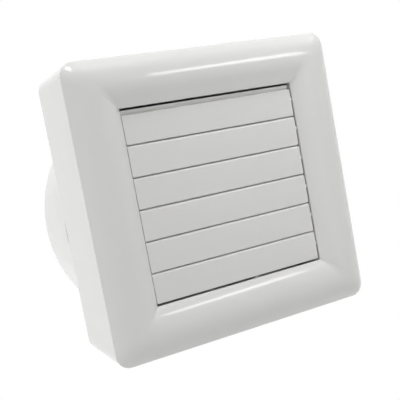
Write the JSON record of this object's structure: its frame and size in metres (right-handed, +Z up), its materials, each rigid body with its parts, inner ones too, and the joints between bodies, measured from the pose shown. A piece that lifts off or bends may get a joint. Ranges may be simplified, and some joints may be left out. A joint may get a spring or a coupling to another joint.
{
  "type": "window exhaust fan",
  "caption": "Square-fronted exhaust fan for a window pane, with a louvred shutter that a thermal actuator opens, and a round outdoor cowl.",
  "frame": {"origin": "on the fan's axis, in the plane of the window pane's room side", "axes": "+Y through the pane towards outdoors, +Z up, +X to the right for someone in the room"},
  "size_m": [0.2073, 0.147, 0.2168],
  "materials": {
    "white_gloss": "moulded gloss",
    "white_satin": "moulded satin",
    "grey_plastic": "moulded satin",
    "black_plastic": "moulded satin",
    "soft_rubber": "matt",
    "copper_wire": "enamelled wire",
    "steel": "zinc plated",
    "stack_steel": "bare lamination",
    "bronze": "machined"
  },
  "bodies": {
    "housing": {"front_frame": "white_gloss", "outer_cowl": "white_gloss", "rear_guard": "white_gloss", "base_plate": "white_satin", "terminal_cover": "white_satin", "motor_cup": "grey_plastic", "terminal_block": "black_plastic", "cable_clamp": "black_plastic", "motor_lead": "black_plastic", "inner_gasket": "soft_rubber", "outer_gasket": "soft_rubber", "cable_grommet": "soft_rubber", "stator_coil_1": "copper_wire", "stator_coil_2": "copper_wire", "stator_coil_3": "copper_wire", "stator_coil_4": "copper_wire", "actuator_bracket": "steel", "actuator_screw_1": "steel", "actuator_screw_2": "steel", "clamp_screw_1": "steel", "clamp_screw_2": "steel", "clamp_screw_3": "steel", "clamp_screw_4": "steel", "frame_screw_1": "steel", "frame_screw_2": "steel", "motor_shield": "steel", "motor_screw_1": "steel", "motor_screw_2": "steel", "motor_screw_3": "steel", "terminal_screw_1": "steel", "terminal_screw_2": "steel", "terminal_screw_3": "steel", "cover_screw": "steel", "cable_clamp_screw_1": "steel", "cable_clamp_screw_2": "steel", "stator_stack": "stack_steel", "actuator": "bronze", "front_bush": "bronze", "rear_bush": "bronze"},
    "impeller_rotor": {"impeller": "white_satin", "hub_nut": "steel", "shaft": "steel", "rotor": "stack_steel"},
    "link_bar": {"link_bar": "white_satin"},
    "plunger": {"plunger": "grey_plastic", "return_spring": "steel"},
    "louvre_1": {"louvre_1": "white_gloss"},
    "louvre_2": {"louvre_2": "white_gloss"},
    "louvre_3": {"louvre_3": "white_gloss", "drive_pin": "steel"},
    "louvre_4": {"louvre_4": "white_gloss"},
    "louvre_5": {"louvre_5": "white_gloss"},
    "louvre_6": {"louvre_6": "white_gloss"}
  },
  "joints": [
    {"name": "louvre_1_pivot", "type": "hinge", "parent": "housing", "child": "louvre_1", "pos_m": [0, -0.0659, 0.0676], "axis": [-1, 0, 0], "range_deg": [0, 75], "stiffness_Nm_per_rad": 0.007},
    {"name": "louvre_2_pivot", "type": "hinge", "parent": "housing", "child": "louvre_2", "pos_m": [0, -0.0659, 0.04563], "axis": [-1, 0, 0], "range_deg": [0, 75]},
    {"name": "louvre_3_pivot", "type": "hinge", "parent": "housing", "child": "louvre_3", "pos_m": [0, -0.0659, 0.02367], "axis": [-1, 0, 0], "range_deg": [0, 75]},
    {"name": "louvre_4_pivot", "type": "hinge", "parent": "housing", "child": "louvre_4", "pos_m": [0, -0.0659, 0.0017], "axis": [-1, 0, 0], "range_deg": [0, 75]},
    {"name": "louvre_5_pivot", "type": "hinge", "parent": "housing", "child": "louvre_5", "pos_m": [0, -0.0659, -0.02027], "axis": [-1, 0, 0], "range_deg": [0, 75]},
    {"name": "louvre_6_pivot", "type": "hinge", "parent": "housing", "child": "louvre_6", "pos_m": [0, -0.0659, -0.04223], "axis": [-1, 0, 0], "range_deg": [0, 75]},
    {"name": "link_bar_pin", "type": "hinge", "parent": "louvre_1", "child": "link_bar", "pos_m": [0.0573, -0.05122, 0.07886], "axis": [-1, 0, 0], "range_deg": [-75, 0]},
    {"name": "plunger_slide", "type": "slide", "parent": "housing", "child": "plunger", "axis": [0, 0, -1], "range_m": [0, 0.01098], "stiffness_N_per_m": 5, "springref_m": -0.006, "deforming": ["return_spring"]},
    {"name": "impeller_spin", "type": "hinge", "parent": "housing", "child": "impeller_rotor", "pos_m": [0, 0, 0], "axis": [0, 1, 0], "continuous": true}
  ],
  "couplings": [
    {"joint": "louvre_2_pivot", "follows": "louvre_1_pivot", "ratio": 1},
    {"joint": "louvre_3_pivot", "follows": "louvre_1_pivot", "ratio": 1},
    {"joint": "louvre_4_pivot", "follows": "louvre_1_pivot", "ratio": 1},
    {"joint": "louvre_5_pivot", "follows": "louvre_1_pivot", "ratio": 1},
    {"joint": "louvre_6_pivot", "follows": "louvre_1_pivot", "ratio": 1},
    {"joint": "link_bar_pin", "follows": "louvre_1_pivot", "ratio": -1},
    {"joint": "plunger_slide", "follows": "louvre_1_pivot", "m_per_rad": 0.008371}
  ]
}
